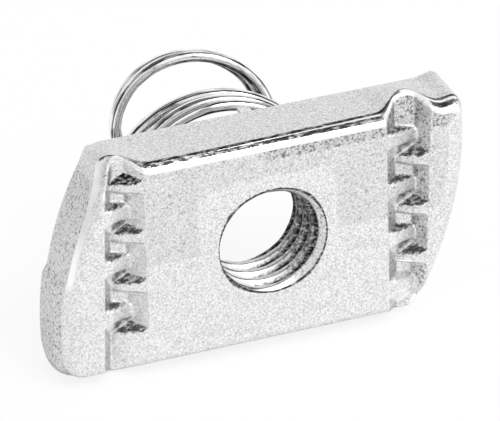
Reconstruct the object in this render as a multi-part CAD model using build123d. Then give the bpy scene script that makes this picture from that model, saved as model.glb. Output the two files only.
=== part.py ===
from build123d import *
import math
import os

# Strut spring nut: a pressed steel plate with a threaded hole, two toothed grooves and a coil
# spring staked to its back.  Millimetres.
# Frame: the plate stands on a long edge.  X runs along its length, Z runs up across its width, and
# Y runs back from the toothed face, which lies in the plane Y = 0, to the spring.
# The origin is the axis of the hole, on the toothed face.

# --- plate ---------------------------------------------------------------------------------------
PLATE_LENGTH = 35.4        # over the two bowed ends
PLATE_WIDTH = 18.3         # over the long edges, which slide into a 21 to 22 mm channel mouth
PLATE_THICKNESS = 6.0
END_RADIUS = 29.5          # plan radius of each bowed end
END_CREST = 6.6            # how far each end's outermost point sits off the middle line
CORNER_RADIUS = 0.85       # plan radius of the four corners
EDGE_ROLL = 0.75           # radius that the press rolls onto the toothed face's outline
BACK_EDGE = 0.2            # radius left on the back face's outline by plating and tumbling

# --- hole ----------------------------------------------------------------------------------------
THREAD_MAJOR = 10.0        # M10
THREAD_PITCH = 1.5
# Basic minor diameter of an ISO thread, with the allowance of a common 8.5 mm tapping drill.
BORE_DIAMETER = THREAD_MAJOR - THREAD_PITCH

# --- grooves for the lips of the channel ----------------------------------------------------------
GROOVE_SPACING = 24.9      # from middle to middle, the lip spacing of 41 mm channel
GROOVE_WIDTH = 3.9         # at the toothed face
GROOVE_DEPTH = 1.5
INNER_WALL_RUN = 1.3       # sideways run of the wall nearer the hole
OUTER_WALL_RUN = 1.0       # and of the outer wall, which is steeper
GROOVE_TAPER = 0.04        # sideways run of the outer wall for each millimetre along the groove

# --- swells ---------------------------------------------------------------------------------------
# The metal that the teeth displace swells out over the long edges at both ends of each groove.
SWELL_RISE = 0.85          # beyond the long edge
SWELL_WIDTH = 4.6          # where it leaves the long edge
SWELL_START = 0.9          # behind the toothed face
SWELL_DEPTH = 4.5          # how far back it keeps its height before it runs out
SWELL_ROLL = 0.5           # radius on its front

# --- teeth ----------------------------------------------------------------------------------------
# A tooth is two wedges that lie one above the other and slope opposite ways.  The upper one leans
# on the groove's left wall and the lower one on its right wall.  Heights are measured from the
# middle of the line in which the two meet on the groove's floor.
TOOTH_PITCH = 4.52
TOOTH_COUNT = 4
LEFT_ROW_TOP = 7.85        # height of the topmost tooth of the left groove
RIGHT_ROW_TOP = 5.05       # height of the topmost tooth of the right groove
MEETING_SKEW = 0.92        # rise of the meeting line from the left wall's foot to the right wall's
UPPER_CREST_TOP = 2.45     # at the toothed face, on the left wall
UPPER_CREST_BOTTOM = 1.08
UPPER_TOP_LEFT = 2.55      # at the floor, at the foot of the left wall
UPPER_TOP_RIGHT = 2.1      # at the floor, at the foot of the right wall
LOWER_CREST_TOP = 0.15     # at the toothed face, on the right wall
LOWER_CREST_BOTTOM = -1.1
LOWER_BOTTOM_LEFT = -0.9   # at the floor, at the foot of the left wall
LOWER_BOTTOM_RIGHT = -1.55
SHOULDER_REACH = 0.7       # how far the ramp stays near the toothed face before it falls
SHOULDER_DROP = 0.08
ROOT = 0.3                 # how far a wedge is rooted in the metal that it was pressed from

# --- coil spring ----------------------------------------------------------------------------------
WIRE_DIAMETER = 1.0
COIL_RADIUS = 8.0          # of the closed turns on the plate, to the middle of the wire
CLOSED_PITCH = 1.08        # axial rise of a closed turn
BASE_TURNS = 2.52          # closed turns on the plate
OPEN_TURNS = 0.68          # part of a turn in which the wire climbs to the free end
END_TURNS = 1.7            # turns at the free end
LEAN = 0.205               # slope of the closed turns against the plate
LEAN_CONTACT = -48.0       # direction, in degrees from +X towards +Z, where the coil touches
WIRE_START = -125.0        # direction of the cut end of the wire at the plate
SEAT_CLEARANCE = 0.02
END_LEVEL = 13.3           # from the plate's back to the middle of the free end's first turn
END_RADIUS_START = 6.7     # the free end is wound tighter, to the middle of the wire
END_TIGHTENING = 0.43      # loss of radius in each of its turns
END_PITCH = 1.3            # axial rise of its turns
END_OFFSET_ACROSS = 0.9    # its middle stands off the hole's axis, along X
END_OFFSET_UP = 1.05       # and along Z
END_SLOPE_ACROSS = -0.17   # its turns' slope along X
END_SLOPE_UP = 0.085       # and along Z
POINTS_PER_TURN = 18

# --- staked lugs that locate the first turn -------------------------------------------------------
LUG_WIDTH = 0.95
LUG_OFFSET = 0.7           # sideways from the middle, opposite ways at the top and the bottom
LUG_HEIGHT = 1.3
LUG_CLEARANCE = 0.1        # between a lug and the outside of the first turn
LUG_EDGE_MARGIN = 0.1      # from the plate's long edge to the lug
LUG_LEAN = 0.06            # how far the top of a lug leans in over the wire

HALF_WIDTH = PLATE_WIDTH / 2
HALF_SPACING = GROOVE_SPACING / 2


def between_ends() -> Sketch:
    """What the two bowed ends leave between them, in the plane of the toothed face."""
    end_disc_offset = PLATE_LENGTH / 2 - END_RADIUS
    right_end = Pos(end_disc_offset, END_CREST) * Circle(END_RADIUS)
    left_end = Pos(-end_disc_offset, -END_CREST) * Circle(END_RADIUS)
    return right_end & left_end


def swell(side: int, up: int) -> Part:
    """The swell over one long edge at one end of a groove, still uncut by the bowed end."""
    radius = ((SWELL_WIDTH / 2) ** 2 + SWELL_RISE ** 2) / (2 * SWELL_RISE)
    middle = up * (HALF_WIDTH + SWELL_RISE - radius)
    depth = SWELL_DEPTH - SWELL_START
    fall = PLATE_THICKNESS - 2 * BACK_EDGE - SWELL_DEPTH
    from_front = (Align.CENTER, Align.CENTER, Align.MIN)
    start = Plane(origin=(side * HALF_SPACING, SWELL_START, middle), z_dir=(0, 1, 0))
    crest = start * Cylinder(radius, depth, align=from_front)
    crest = fillet(crest.edges().sort_by(Axis.Y)[0], SWELL_ROLL)
    low = radius - SWELL_RISE - BACK_EDGE
    return crest + start.offset(depth) * Cone(radius, low, fall, align=from_front)


def blank() -> Part:
    """The plate before its grooves are pressed, with its rolled front edge and its swells."""
    front = Plane(origin=(0, 0, 0), x_dir=(1, 0, 0), z_dir=(0, -1, 0))
    outline = Rectangle(PLATE_LENGTH, PLATE_WIDTH) & between_ends()
    outline = fillet(outline.vertices(), CORNER_RADIUS)
    plate = extrude(front * outline, -PLATE_THICKNESS)
    front_face = plate.faces().sort_by(Axis.Y)[0]
    plate = fillet(front_face.edges(), EDGE_ROLL)
    back_face = plate.faces().sort_by(Axis.Y)[-1]
    plate = fillet(back_face.edges(), BACK_EDGE)
    reach = extrude(front * between_ends(), -PLATE_THICKNESS)
    for side in (-1, 1):
        for up in (-1, 1):
            plate = plate + (swell(side, up) & reach)
    return plate


def inner_edge(side: int) -> float:
    """X of a groove's wall nearer the hole, at the toothed face; side is +1 right, -1 left."""
    return side * (HALF_SPACING - GROOVE_WIDTH / 2)


def outer_edge(side: int, height: float) -> float:
    """X of a groove's outer wall at the toothed face, which tapers along the groove."""
    return side * (HALF_SPACING + GROOVE_WIDTH / 2 + GROOVE_TAPER * (side * height - HALF_WIDTH / 2))


def groove_section(side: int, height: float) -> Face:
    """The groove's section at one height, carried a little above the face."""
    above = ROOT / GROOVE_DEPTH
    inner = inner_edge(side)
    outer = outer_edge(side, height)
    corners = [
        (inner - side * INNER_WALL_RUN * above, -ROOT, height),
        (inner + side * INNER_WALL_RUN, GROOVE_DEPTH, height),
        (outer - side * OUTER_WALL_RUN, GROOVE_DEPTH, height),
        (outer + side * OUTER_WALL_RUN * above, -ROOT, height),
    ]
    return Face(Wire.make_polygon(corners, close=True))


def groove(side: int) -> Part:
    """The straight cut of one groove, open at both long edges."""
    reach = HALF_WIDTH + SWELL_RISE + ROOT
    return loft([groove_section(side, -reach), groove_section(side, reach)], ruled=True)


def plane_height(corners, across: float, depth: float) -> float:
    """Height of the plane through three (across, depth, height) corners at one place."""
    (a0, d0, h0), (a1, d1, h1), (a2, d2, h2) = corners
    area = (a1 - a0) * (d2 - d0) - (a2 - a0) * (d1 - d0)
    slope_across = ((h1 - h0) * (d2 - d0) - (h2 - h0) * (d1 - d0)) / area
    slope_depth = ((a1 - a0) * (h2 - h0) - (a2 - a0) * (h1 - h0)) / area
    return h0 + slope_across * (across - a0) + slope_depth * (depth - d0)


def wedge(edge_at, facing: int, top, bottom, middle: float) -> Solid:
    """One wedge of a tooth.

    edge_at gives the X of the wall it leans on at a height, and facing is the way across the
    groove from that wall.  top and bottom are the (across, depth, height) corners of its two end
    planes, and middle is the height of its tooth.
    """
    foot_far = top[-1][0]
    section = [
        (0.0, 0.0),
        (SHOULDER_REACH, SHOULDER_DROP),
        (foot_far, GROOVE_DEPTH),
        (foot_far, GROOVE_DEPTH + ROOT),
        (-ROOT, GROOVE_DEPTH + ROOT),
        (-ROOT, ROOT),
    ]

    def ring(plane):
        points = []
        for across, depth in section:
            height = middle + plane_height(plane, across, depth)
            points.append(Vector(edge_at(height) + facing * across, depth, height))
        return points

    upper, lower = ring(top), ring(bottom)
    faces = [Face(Wire.make_polygon(upper, close=True)), Face(Wire.make_polygon(lower, close=True))]
    for i in range(len(section)):
        j = (i + 1) % len(section)
        faces.append(Face(Wire.make_polygon([upper[i], upper[j], lower[j], lower[i]], close=True)))
    return Solid(Shell(faces))


def tooth(side: int, middle: float, with_upper: bool, run_out: float) -> list:
    """The wedges of one tooth in the groove on one side; the lower one is longer by run_out."""
    left = (lambda h: inner_edge(side)) if side > 0 else (lambda h: outer_edge(side, h))
    right = (lambda h: outer_edge(side, h)) if side > 0 else (lambda h: inner_edge(side))
    left_run = INNER_WALL_RUN if side > 0 else OUTER_WALL_RUN
    right_run = OUTER_WALL_RUN if side > 0 else INNER_WALL_RUN
    near, far = left_run, GROOVE_WIDTH - right_run
    low, high = -MEETING_SKEW / 2, MEETING_SKEW / 2
    wedges = []
    if with_upper:
        top = [(0, 0, UPPER_CREST_TOP), (near, GROOVE_DEPTH, UPPER_TOP_LEFT),
               (far, GROOVE_DEPTH, UPPER_TOP_RIGHT)]
        bottom = [(0, 0, UPPER_CREST_BOTTOM), (near, GROOVE_DEPTH, low), (far, GROOVE_DEPTH, high)]
        wedges.append(wedge(left, 1, top, bottom, middle))
    # Across is measured from the right wall here, so its own foot comes first.
    near, far = right_run, GROOVE_WIDTH - left_run
    top = [(0, 0, LOWER_CREST_TOP), (near, GROOVE_DEPTH, high), (far, GROOVE_DEPTH, low)]
    bottom = [(0, 0, LOWER_CREST_BOTTOM - run_out), (near, GROOVE_DEPTH, LOWER_BOTTOM_RIGHT - run_out),
              (far, GROOVE_DEPTH, LOWER_BOTTOM_LEFT - run_out)]
    wedges.append(wedge(right, -1, top, bottom, middle))
    return wedges


def teeth() -> list:
    """Every wedge of both rows.

    The left row starts with a lower wedge alone, and the last lower wedge of each row runs out
    through the plate's lower edge.
    """
    wedges = []
    for index in range(TOOTH_COUNT):
        drop = index * TOOTH_PITCH
        run_out = TOOTH_PITCH if index == TOOTH_COUNT - 1 else 0.0
        wedges += tooth(-1, LEFT_ROW_TOP - drop, index > 0, run_out)
        wedges += tooth(1, RIGHT_ROW_TOP - drop, True, run_out)
    return wedges


def lug(up: int) -> Part:
    """One staked lug on the back face, just outside the first turn; up is +1 top, -1 bottom."""
    inner = COIL_RADIUS + WIRE_DIAMETER / 2 + LUG_CLEARANCE
    outer = HALF_WIDTH - LUG_EDGE_MARGIN
    base = PLATE_THICKNESS - ROOT
    top = PLATE_THICKNESS + LUG_HEIGHT
    corners = [(base, inner), (base, outer), (top, outer - LUG_LEAN), (top, inner - LUG_LEAN)]
    start = up * LUG_OFFSET - LUG_WIDTH / 2
    profile = Face(Wire.make_polygon([(start, y, up * z) for y, z in corners], close=True))
    return extrude(profile, LUG_WIDTH, dir=(1, 0, 0))


def nut_plate() -> Part:
    """The whole pressed plate."""
    body = blank()
    pressed = body - groove(-1) - groove(1)
    for solid in teeth():
        pressed = pressed + (solid & body)
    bore = Cylinder(BORE_DIAMETER / 2, 3 * PLATE_THICKNESS, rotation=(90, 0, 0))
    pressed = pressed - bore
    return pressed + lug(1) + lug(-1)


def eased(share: float) -> float:
    """A smooth step from 0 to 1 as share goes from 0 to 1."""
    share = max(0.0, min(1.0, share))
    return share - math.sin(2 * math.pi * share) / (2 * math.pi)


def spring_point(turns: float) -> Vector:
    """Middle of the wire after some turns from its cut end at the plate.

    The closed turns on the plate pass over into the turns of the free end, which have their own
    middle, radius, slope and pitch.
    """
    angle = math.radians(WIRE_START + 360 * turns)
    past_end_start = turns - BASE_TURNS - OPEN_TURNS
    climbed = eased((turns - BASE_TURNS) / OPEN_TURNS)

    end_radius = END_RADIUS_START - END_TIGHTENING * past_end_start
    radius = COIL_RADIUS + (end_radius - COIL_RADIUS) * climbed
    along, up = radius * math.cos(angle), radius * math.sin(angle)

    contact_turns = (LEAN_CONTACT - WIRE_START) / 360
    lift = LEAN * COIL_RADIUS * (1 - math.cos(angle - math.radians(LEAN_CONTACT)))
    base_height = WIRE_DIAMETER / 2 + SEAT_CLEARANCE + CLOSED_PITCH * (turns - contact_turns) + lift
    end_height = END_LEVEL + END_PITCH * past_end_start + END_SLOPE_ACROSS * along + END_SLOPE_UP * up
    height = base_height + (end_height - base_height) * climbed
    return Vector(along + END_OFFSET_ACROSS * climbed, PLATE_THICKNESS + height,
                  up + END_OFFSET_UP * climbed)


def coil_spring() -> Part:
    """The wire, swept along its winding from the plate to its free end."""
    total = BASE_TURNS + OPEN_TURNS + END_TURNS
    steps = round(total * POINTS_PER_TURN)
    path = Spline([spring_point(total * i / steps) for i in range(steps + 1)])
    section = Plane(origin=path @ 0, z_dir=path % 0) * Circle(WIRE_DIAMETER / 2)
    return sweep(section, path=path, is_frenet=False)


os.makedirs("parts", exist_ok=True)
NODES = {"nut_plate": nut_plate(), "coil_spring": coil_spring()}
for name, shape in NODES.items():
    export_step(shape, f"parts/{name}.step")
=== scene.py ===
"""Dresses the strut spring nut.

The pressed plate gets its flowing rolled edge, worn teeth and real thread, the spring gets its
drawn wire, and both stand on a pale floor in soft studio light.  Sizes are in millimetres in the
plate's own frame: X along the plate, Z up across its width, Y back from the toothed face.
"""

import logging
import math
from dataclasses import dataclass, field
from enum import Enum
from typing import Any, Dict, List, Optional, Sequence, Tuple, Union

import bmesh
import bpy
import numpy as np
from mathutils import Matrix, Vector
from mathutils.geometry import tessellate_polygon


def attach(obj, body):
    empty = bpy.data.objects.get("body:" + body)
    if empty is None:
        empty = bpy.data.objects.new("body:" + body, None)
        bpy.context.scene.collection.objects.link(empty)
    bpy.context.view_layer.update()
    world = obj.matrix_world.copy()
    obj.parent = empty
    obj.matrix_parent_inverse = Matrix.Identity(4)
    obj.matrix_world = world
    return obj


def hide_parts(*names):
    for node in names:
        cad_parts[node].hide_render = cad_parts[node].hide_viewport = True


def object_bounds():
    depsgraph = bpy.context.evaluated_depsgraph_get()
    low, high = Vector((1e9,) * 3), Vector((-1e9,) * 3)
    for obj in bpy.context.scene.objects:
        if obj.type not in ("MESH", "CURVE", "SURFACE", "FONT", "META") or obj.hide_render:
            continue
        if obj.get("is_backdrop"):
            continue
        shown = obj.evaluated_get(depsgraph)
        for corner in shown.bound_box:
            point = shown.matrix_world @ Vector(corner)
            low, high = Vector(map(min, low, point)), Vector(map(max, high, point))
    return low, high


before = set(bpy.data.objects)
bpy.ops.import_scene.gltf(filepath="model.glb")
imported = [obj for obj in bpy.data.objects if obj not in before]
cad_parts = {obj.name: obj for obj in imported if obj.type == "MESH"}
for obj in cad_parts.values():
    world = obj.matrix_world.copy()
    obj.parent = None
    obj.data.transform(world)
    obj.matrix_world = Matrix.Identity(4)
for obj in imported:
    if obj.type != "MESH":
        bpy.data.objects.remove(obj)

LOG = logging.getLogger("strut_spring_nut")
MM = 0.001

Number = Union[int, float]
Array = np.ndarray
Corner = Tuple[float, float, float]
Stretch = Tuple[float, float]  # where a change starts or has its middle, and over what length


class Slot(Enum):
    """The record's material slots."""

    PLATE = "plated_plate"
    WIRE = "spring_wire"


class Node(Enum):
    """The CAD nodes that the dressed pieces stand for."""

    PLATE = "nut_plate"
    SPRING = "coil_spring"


class Side(Enum):
    """Which end of the plate a groove is near, as its sign along X."""

    LEFT = -1
    RIGHT = 1


# ---------------------------------------------------------------------------------------------
# Shader building
# ---------------------------------------------------------------------------------------------


class Signal:
    """A number that a shader works out, which takes part in plain Python expressions."""

    def __init__(self, tree: bpy.types.NodeTree, socket: bpy.types.NodeSocket) -> None:
        """Wraps one output socket of a node tree."""
        self.tree = tree
        self.socket = socket

    def _math(self, operation: str, *operands: Union["Signal", Number], clamp: bool = False) -> "Signal":
        """Adds one Math node.

        Args:
            operation: the node's operation.
            operands: the node's inputs in order.
            clamp: whether the result is kept between 0 and 1.

        Returns:
            The node's result.
        """
        node = self.tree.nodes.new("ShaderNodeMath")
        node.operation = operation
        node.use_clamp = clamp
        for socket, operand in zip(node.inputs, operands):
            if isinstance(operand, Signal):
                self.tree.links.new(operand.socket, socket)
            else:
                socket.default_value = float(operand)
        return Signal(self.tree, node.outputs[0])

    def __add__(self, other: Union["Signal", Number]) -> "Signal":
        """self + other"""
        return self._math("ADD", self, other)

    def __radd__(self, other: Number) -> "Signal":
        """other + self"""
        return self._math("ADD", other, self)

    def __sub__(self, other: Union["Signal", Number]) -> "Signal":
        """self - other"""
        return self._math("SUBTRACT", self, other)

    def __rsub__(self, other: Number) -> "Signal":
        """other - self"""
        return self._math("SUBTRACT", other, self)

    def __mul__(self, other: Union["Signal", Number]) -> "Signal":
        """self * other"""
        return self._math("MULTIPLY", self, other)

    def __rmul__(self, other: Number) -> "Signal":
        """other * self"""
        return self._math("MULTIPLY", other, self)

    def __truediv__(self, other: Union["Signal", Number]) -> "Signal":
        """self / other"""
        return self._math("DIVIDE", self, other)

    def clamped(self) -> "Signal":
        """The value kept between 0 and 1."""
        return self._math("ADD", self, 0.0, clamp=True)

    def at_least(self, other: Union["Signal", Number]) -> "Signal":
        """The larger of the two values."""
        return self._math("MAXIMUM", self, other)

    def rise(self, low: Number, high: Number) -> "Signal":
        """0 below low, 1 above high and an even slope between them."""
        return ((self - low) / (high - low)).clamped()


class ShaderTree:
    """Adds nodes to one node tree, that of a material or of the world."""

    def __init__(self, tree: bpy.types.NodeTree) -> None:
        """Takes over the tree and empties it."""
        self.tree = tree
        tree.nodes.clear()

    def node(
        self,
        kind: str,
        settings: Optional[Dict[str, Any]] = None,
        inputs: Optional[Dict[Union[str, int], Any]] = None,
    ) -> bpy.types.Node:
        """Adds any node.

        Args:
            kind: the node's type.
            settings: properties that are set before the sockets.
            inputs: values or links by socket name or number.

        Returns:
            The new node.
        """
        node = self.tree.nodes.new(kind)
        for name, value in (settings or {}).items():
            setattr(node, name, value)
        for name, value in (inputs or {}).items():
            socket = node.inputs[name]
            if isinstance(value, Signal):
                self.tree.links.new(value.socket, socket)
            elif isinstance(value, bpy.types.NodeSocket):
                self.tree.links.new(value, socket)
            else:
                socket.default_value = value
        return node

    def signal(self, node: bpy.types.Node, output: Union[str, int] = 0) -> Signal:
        """A node's output as a value for expressions."""
        return Signal(self.tree, node.outputs[output])

    def mix(self, factor: Union[Signal, Number], low: Any, high: Any) -> bpy.types.NodeSocket:
        """A colour between two colours.

        Args:
            factor: 0 gives low and 1 gives high.
            low: a colour or a colour socket.
            high: a colour or a colour socket.

        Returns:
            The mixed colour's socket.
        """
        node = self.node("ShaderNodeMix", {"data_type": "RGBA"}, {0: factor, 6: low, 7: high})
        return node.outputs[2]

    def scaled(self, vector: bpy.types.NodeSocket, factors: Sequence[float]) -> bpy.types.NodeSocket:
        """A vector multiplied part by part."""
        node = self.node("ShaderNodeVectorMath", {"operation": "MULTIPLY"}, {0: vector, 1: factors})
        return node.outputs[0]

    def noise(self, vector: bpy.types.NodeSocket, scale: float, detail: float = 2.0,
              roughness: float = 0.5) -> Signal:
        """Soft random values about 0.5.

        Args:
            vector: the place that they depend on.
            scale: how many features fit in one unit of the vector.
            detail: how many finer layers are added.
            roughness: how strong the finer layers are.

        Returns:
            The noise value.
        """
        node = self.node("ShaderNodeTexNoise", None, {"Vector": vector, "Scale": scale,
                                                      "Detail": detail, "Roughness": roughness})
        return self.signal(node, 0)

    def turned_place(self) -> bpy.types.NodeSocket:
        """The place on the piece, turned so that no flat side lies along a noise's own grid."""
        place = self.node("ShaderNodeTexCoord").outputs["Object"]
        node = self.node("ShaderNodeVectorRotate", {"rotation_type": "EULER_XYZ"},
                         {"Vector": place, "Rotation": (0.7, 0.5, 0.9)})
        return node.outputs[0]

    def metal(self, colour: Any, roughness: Any, bump: bpy.types.Node) -> None:
        """Ends the tree in the surface of a bare metal.

        Args:
            colour: its colour.
            roughness: how rough it is.
            bump: the node that gives its fine relief.
        """
        surface = self.node("ShaderNodeBsdfPrincipled", None, {
            "Base Color": colour, "Metallic": 1.0, "Roughness": roughness, "Normal": bump.outputs[0]})
        self.node("ShaderNodeOutputMaterial", None, {"Surface": surface.outputs[0]})

    def attribute(self, name: str) -> bpy.types.Node:
        """The node that reads a value stored on the mesh's points."""
        return self.node("ShaderNodeAttribute", {"attribute_name": name})


def grey(level: float) -> Tuple[float, float, float, float]:
    """A neutral colour."""
    return (level, level, level, 1.0)


def new_finish(name: str) -> Tuple[bpy.types.Material, ShaderTree]:
    """An empty material and the tree that its finish is built in."""
    material = bpy.data.materials.new(name)
    material.use_nodes = True
    return material, ShaderTree(material.node_tree)


@dataclass(frozen=True)
class PlatedSteel:
    """Zinc plating on pressed steel: a pale, finely grained metal, burnished and painted brighter as a
    highlight where the press rubbed it, and dark with drag marks and painted shade where the tooth tool
    struck it and where shade falls."""

    light: float = 0.97
    dull: float = 0.6
    # colour of the painted highlight on burnished places
    bright: float = 0.98
    # colours of the tool's drag marks, which also carry the painted shade
    dark: Tuple[float, float] = (0.012, 0.42)
    satin: float = 0.42
    burnished: float = 0.2
    grain_mm: float = 0.15
    fleck_mm: float = 0.3
    mottle_mm: float = 2.2
    drag_mm: Tuple[float, float, float] = (0.8, 0.3, 0.24)
    grain_height_mm: float = 0.008

    def material(self) -> bpy.types.Material:
        """Builds the finish."""
        material, shader = new_finish("zinc_plated_steel")
        place = shader.turned_place()
        grain = shader.noise(place, 1 / (self.grain_mm * MM), 1.0, 0.5)
        fleck = shader.noise(place, 1 / (self.fleck_mm * MM), 2.0, 0.6)
        mottle = shader.noise(place, 1 / (self.mottle_mm * MM), 3.0, 0.55)
        straight = shader.node("ShaderNodeTexCoord").outputs["Object"]
        drag_size = [1 / (size * MM) for size in self.drag_mm]
        drag = shader.noise(shader.scaled(straight, drag_size), 1.0, 2.0, 0.6)
        burnish_and_highlight = shader.signal(shader.attribute("burnish_and_highlight"), "Fac")
        struck_and_shade = shader.signal(shader.attribute("struck_and_shade"), "Fac")
        dull = ((grain.rise(0.32, 0.7) * 0.9 + fleck.rise(0.5, 0.7) * 0.4 + mottle.rise(0.35, 0.7) * 0.08)
                * (1 - 0.9 * burnish_and_highlight)).clamped()
        plain = shader.mix(dull, grey(self.light), grey(self.dull))
        # painted highlight: burnished places turn one bright colour
        plain = shader.mix(burnish_and_highlight, plain, grey(self.bright))
        marked = shader.mix(drag.rise(0.48, 0.66), grey(self.dark[0]), grey(self.dark[1]))
        broken = (struck_and_shade + (fleck - 0.5) * 1.4).rise(0.4, 0.6)
        # mixes in the tool's drag marks and the painted shade
        colour = shader.mix((struck_and_shade * 0.58 + broken * 0.5).clamped(), plain, marked)
        roughness = self.satin + (grain - 0.5) * 0.12 - (self.satin - self.burnished) * burnish_and_highlight
        bump = shader.node("ShaderNodeBump", None, {
            "Strength": 1.0,
            "Distance": self.grain_height_mm * MM,
            "Height": grain * (1 - 0.85 * burnish_and_highlight) + drag * struck_and_shade,
        })
        shader.metal(colour, roughness, bump)
        return material


@dataclass(frozen=True)
class DrawnWire:
    """Bright spring wire with dark drawing lines along it, dark patches of painted reflection, a painted
    reflection line near its outer side and painted shade along its inner side.
    """

    bright: float = 0.97
    dark: float = 0.03
    polish: float = 0.17
    line_mm: float = 0.2
    line_length_mm: float = 5.0
    # size of the dark patches of painted reflection
    reflection_patch_mm: Tuple[float, float] = (1.6, 0.3)
    radius_mm: float = 0.5

    def material(self) -> bpy.types.Material:
        """Builds the finish, which follows the wire through the values stored along it."""
        material, shader = new_finish("bright_spring_wire")
        along = shader.attribute("drawn").outputs["Vector"]
        line_size = (1 / self.line_length_mm, 1 / self.line_mm, 1 / self.line_mm)
        lines = shader.noise(shader.scaled(along, line_size), 1.0, 2.0, 0.5)
        # dark patches of painted reflection along the wire
        reflection_patch_size = (1 / self.reflection_patch_mm[0], 1 / self.reflection_patch_mm[1], 1 / self.reflection_patch_mm[1])
        reflection_patches = shader.noise(shader.scaled(along, reflection_patch_size), 1.0, 2.0, 0.5)
        parts = shader.node("ShaderNodeSeparateXYZ", None, {0: along})
        outward = shader.signal(parts, 1) / self.radius_mm
        # a painted dark reflection line near the wire's outer side, and painted shade along its inner side
        outer_reflection_line = outward.rise(0.66, 0.78) * (1 - outward.rise(0.84, 0.93)) * 0.8
        inner_shade_band = (1 - outward.rise(-0.5, -0.1)) * (0.4 + reflection_patches.rise(0.4, 0.6) * 0.45)
        dull = lines.rise(0.48, 0.62) * 0.4 + reflection_patches.rise(0.52, 0.62) * 0.45
        # the drawing lines, the painted reflections and the painted shade together
        dull = (dull + outer_reflection_line + inner_shade_band).clamped()
        colour = shader.mix(dull, grey(self.bright), grey(self.dark))
        roughness = self.polish + lines * 0.1
        bump = shader.node("ShaderNodeBump", None, {
            "Strength": 0.5,
            "Distance": 0.004 * MM,
            "Height": lines,
        })
        shader.metal(colour, roughness, bump)
        return material


@dataclass(frozen=True)
class PaleFloor:
    """A white sweep that looks white to the camera and still takes a faint shadow."""

    colour: float = 0.9
    glow: float = 0.84

    def material(self) -> bpy.types.Material:
        """Builds the finish."""
        material, shader = new_finish("pale_floor")
        paint = shader.node("ShaderNodeBsdfDiffuse", None, {"Color": grey(self.colour)})
        glow = shader.node("ShaderNodeEmission", None, {"Color": grey(1.0), "Strength": 1.0})
        ray = shader.node("ShaderNodeLightPath")
        seen = shader.signal(ray, "Is Camera Ray").at_least(shader.signal(ray, "Is Transmission Ray"))
        mixed = shader.node("ShaderNodeMixShader", None, {
            0: seen * self.glow, 1: paint.outputs[0], 2: glow.outputs[0]})
        shader.node("ShaderNodeOutputMaterial", None, {"Surface": mixed.outputs[0]})
        return material


# ---------------------------------------------------------------------------------------------
# Mesh building
# ---------------------------------------------------------------------------------------------


class Skin:
    """Grows a mesh from grids of points that share the points where they meet."""

    def __init__(self) -> None:
        """Starts with nothing."""
        self.points: List[Array] = []
        self.faces: List[Tuple[int, ...]] = []
        # Each point holds how far it is burnished with a painted highlight, and how far it has tool marks
        # with painted shade.
        self.values: Dict[str, List[Array]] = {"burnish_and_highlight": [], "struck_and_shade": []}
        self.count = 0

    def add(self, points: Array, burnish_and_highlight: Union[float, Array] = 0.0,
            struck_and_shade: Union[float, Array] = 0.0) -> Array:
        """Adds points.

        Args:
            points: an array whose last axis is x, y, z in millimetres.
            burnish_and_highlight: how far each point is burnished, with a painted highlight in its colour.
            struck_and_shade: how far each point carries tool marks and painted shade, dark in colour, with
                drag relief.

        Returns:
            The points' numbers, in the array's own shape.
        """
        shape = points.shape[:-1]
        total = int(np.prod(shape))
        self.points.append(points.reshape(-1, 3))
        for name, value in (("burnish_and_highlight", burnish_and_highlight), ("struck_and_shade", struck_and_shade)):
            self.values[name].append(np.broadcast_to(value, shape).reshape(-1).astype(float))
        numbers = np.arange(self.count, self.count + total).reshape(shape)
        self.count += total
        return numbers

    def weave(self, grid: Array, around: bool = False) -> None:
        """Fills a grid of point numbers with four-sided faces, skipping gaps marked -1.

        Args:
            grid: point numbers in rows.
            around: whether the last column joins the first.
        """
        if around:
            grid = np.concatenate([grid, grid[:, :1]], axis=1)
        cells = np.stack([grid[:-1, :-1], grid[1:, :-1], grid[1:, 1:], grid[:-1, 1:]], axis=-1)
        cells = cells.reshape(-1, 4)
        self.faces.extend(tuple(cell) for cell in cells[(cells >= 0).all(axis=1)].tolist())

    def cap(self, *loops: Array) -> None:
        """Fills the flat area inside the first loop and outside the others."""
        together = np.concatenate(loops)
        places = np.concatenate(self.points)
        outlines = [[Vector(places[i]) for i in loop] for loop in loops]
        for corner in tessellate_polygon(outlines):
            self.faces.append(tuple(int(together[i]) for i in corner))

    def close(self, *rings: Array) -> None:
        """Closes each ring of points with one face."""
        for ring in rings:
            self.faces.append(tuple(int(i) for i in ring))

    def build(self, name: str) -> bpy.types.Object:
        """Makes a closed, smooth-shaded piece in metres, with the points' values on it."""
        mesh = bpy.data.meshes.new(name)
        mesh.from_pydata((np.concatenate(self.points) * MM).tolist(), [], self.faces)
        mesh.validate()
        shaped = bmesh.new()
        shaped.from_mesh(mesh)
        bmesh.ops.recalc_face_normals(shaped, faces=shaped.faces)
        shaped.to_mesh(mesh)
        shaped.free()
        for value, values in self.values.items():
            layer = mesh.attributes.new(value, "FLOAT", "POINT")
            layer.data.foreach_set("value", np.concatenate(values).astype(np.float32))
        mesh.shade_smooth()
        piece = bpy.data.objects.new(mesh.name, mesh)
        bpy.context.scene.collection.objects.link(piece)
        return piece


def smooth_step(value: Array) -> Array:
    """Eases from 0 to 1 as the value does."""
    value = np.clip(value, 0.0, 1.0)
    return value * value * (3 - 2 * value)


def rises(value: Array, start: float, span: float) -> Array:
    """Eases from 0 to 1 as the value goes up from start by span."""
    return smooth_step((value - start) / span)


def falls(value: Array, start: float, span: float) -> Array:
    """Eases from 0 to 1 as the value goes down from start by span."""
    return smooth_step((start - value) / span)


def hill(value: Array, middle: float, reach: float) -> Array:
    """1 at the middle, falling away on both sides."""
    return np.exp(-((value - middle) / reach) ** 2)


def circle(radius: Union[float, Array], angle: Array, level: float) -> Array:
    """Points round the hole's middle at one depth."""
    return np.stack([radius * np.cos(angle), np.full_like(angle, level), radius * np.sin(angle)], axis=-1)


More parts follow.
